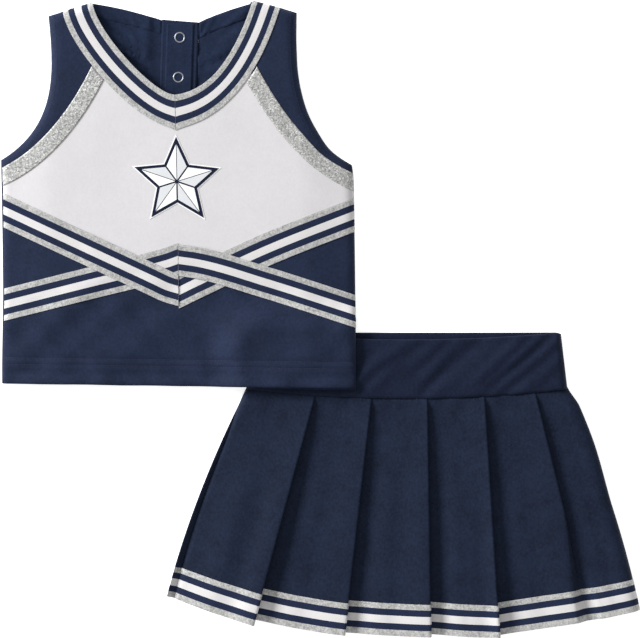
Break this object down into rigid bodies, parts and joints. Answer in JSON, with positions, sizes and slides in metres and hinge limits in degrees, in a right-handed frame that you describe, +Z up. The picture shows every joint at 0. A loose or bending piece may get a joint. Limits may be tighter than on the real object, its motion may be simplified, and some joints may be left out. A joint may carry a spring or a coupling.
{
  "type": "cheer uniform",
  "caption": "Child's two-piece cheer uniform laid flat: sleeveless crop top with V neck and crossed striped bands, lying over the waistband of a knife-pleated skirt.",
  "frame": {"origin": "under the middle of the whole set, on the surface that it lies on", "axes": "+Z up out of the surface, +Y towards the top's neckline, +X towards the skirt's side of the set"},
  "size_m": [0.5582, 0.5582, 0.0178],
  "materials": {
    "navy_cloth": "satin-faced double-knit polyester, navy",
    "white_cloth": "matte double-knit polyester, off-white",
    "striped_braid": "flat braid: silver, navy, white, navy, silver",
    "glitter_cloth": "silver glitter tricot",
    "navy_thread": "overlock thread, navy",
    "white_ink": "white applique cloth",
    "elastic_web": "knitted elastic webbing",
    "snap_metal": "nickel-plated open-ring snaps"
  },
  "bodies": {
    "skirt": {"back_hem_braid": "striped_braid", "skirt_back_panel": "navy_cloth", "skirt_side_seam_left": "navy_thread", "skirt_side_seam_right": "navy_thread", "waist_elastic_back": "elastic_web", "waist_elastic_front": "elastic_web", "waistband_back": "navy_cloth", "waistband_front": "navy_cloth", "waistband_seam_left": "navy_thread", "waistband_seam_right": "navy_thread"},
    "skirt_front": {"front_hem_braid_1": "striped_braid", "front_hem_braid_2": "striped_braid", "front_hem_braid_3": "striped_braid", "front_hem_braid_4": "striped_braid", "front_hem_braid_5": "striped_braid", "front_hem_braid_6": "striped_braid", "front_pleat_1": "navy_cloth", "front_pleat_2": "navy_cloth", "front_pleat_3": "navy_cloth", "front_pleat_4": "navy_cloth", "front_pleat_5": "navy_cloth", "front_pleat_6": "navy_cloth"},
    "top": {"back_panel": "navy_cloth", "chest_panel": "white_cloth", "emblem_backing": "navy_cloth", "emblem_star": "white_ink", "glitter_strip_left": "glitter_cloth", "glitter_strip_right": "glitter_cloth", "lower_front_panel": "navy_cloth", "neckline_braid_left": "striped_braid", "neckline_braid_right": "striped_braid", "peak_band_left": "striped_braid", "peak_band_right": "striped_braid", "shoulder_panel_left": "navy_cloth", "shoulder_panel_right": "navy_cloth", "shoulder_seam_left": "navy_thread", "shoulder_seam_right": "navy_thread", "side_seam_left": "navy_thread", "side_seam_right": "navy_thread", "snap_outer_ring_1": "snap_metal", "snap_outer_ring_2": "snap_metal", "snap_outer_ring_3": "snap_metal", "snap_socket_1": "snap_metal", "snap_socket_2": "snap_metal", "snap_socket_3": "snap_metal", "v_band_left": "striped_braid", "v_band_right": "striped_braid"},
    "placket": {"placket_flap": "navy_cloth", "snap_inner_ring_1": "snap_metal", "snap_inner_ring_2": "snap_metal", "snap_inner_ring_3": "snap_metal", "snap_stud_1": "snap_metal", "snap_stud_2": "snap_metal", "snap_stud_3": "snap_metal"}
  },
  "joints": [
    {"name": "top_lift", "type": "slide", "parent": "skirt", "child": "top", "axis": [0, 0, 1], "range_m": [0, 0.15]},
    {"name": "placket_open", "type": "hinge", "parent": "top", "child": "placket", "pos_m": [-0.1256, 0.1636, 0.0013], "axis": [1, 0, 0], "range_deg": [0, 6]},
    {"name": "skirt_front_lift", "type": "hinge", "parent": "skirt", "child": "skirt_front", "pos_m": [0.0761, -0.0695, 0.0078], "axis": [-1, 0, 0], "range_deg": [0, 15]}
  ]
}
